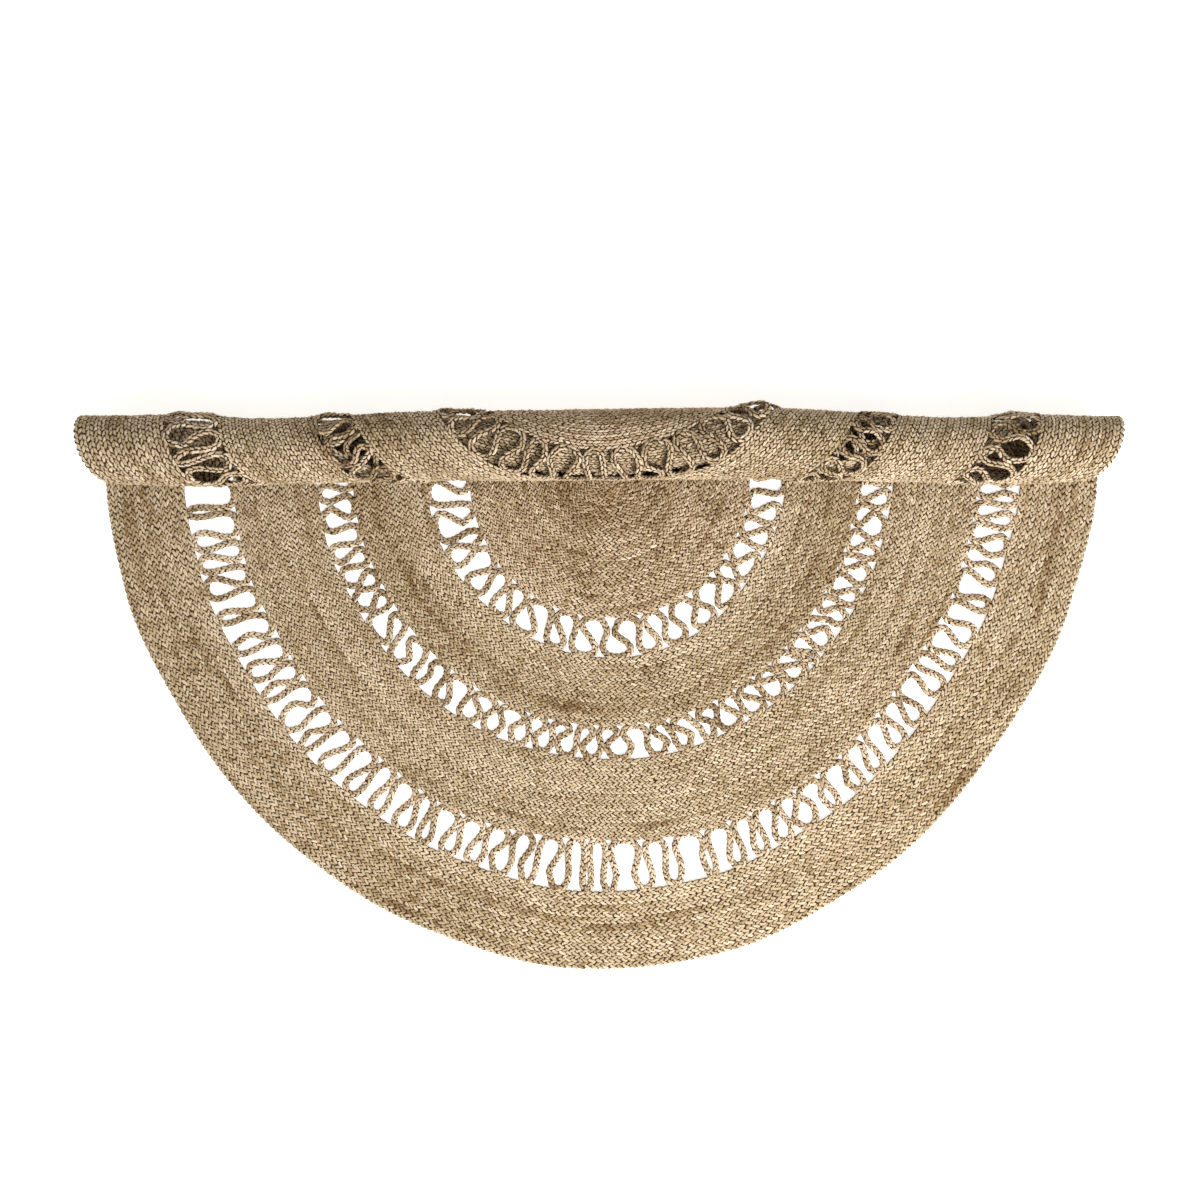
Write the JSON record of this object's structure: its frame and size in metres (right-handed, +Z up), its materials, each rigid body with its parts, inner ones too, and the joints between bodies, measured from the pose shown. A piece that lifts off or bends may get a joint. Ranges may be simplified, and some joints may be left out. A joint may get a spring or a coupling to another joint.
{
  "type": "round jute rug, half rolled up",
  "caption": "Round braided jute rug with openwork rings of looped cord, its near half lying flat and its far half rolled up over itself.",
  "frame": {"origin": "centre of the rug's round outline, on its underside, which lies on the floor", "axes": "+X along the roll, +Y from the flat half towards the roll, +Z up from the floor"},
  "size_m": [1.843, 1.023, 0.1347],
  "materials": {
    "jute_braid": "matt natural jute, flat plaits sewn side by side",
    "jute_cord": "matt natural jute, one flat plaited cord laid in loops"
  },
  "bodies": {
    "root": {"centre_disc": "jute_braid", "inner_loops": "jute_cord", "inner_band": "jute_braid", "middle_loops": "jute_cord", "outer_band": "jute_braid", "outer_loops": "jute_cord", "border": "jute_braid"}
  },
  "joints": []
}
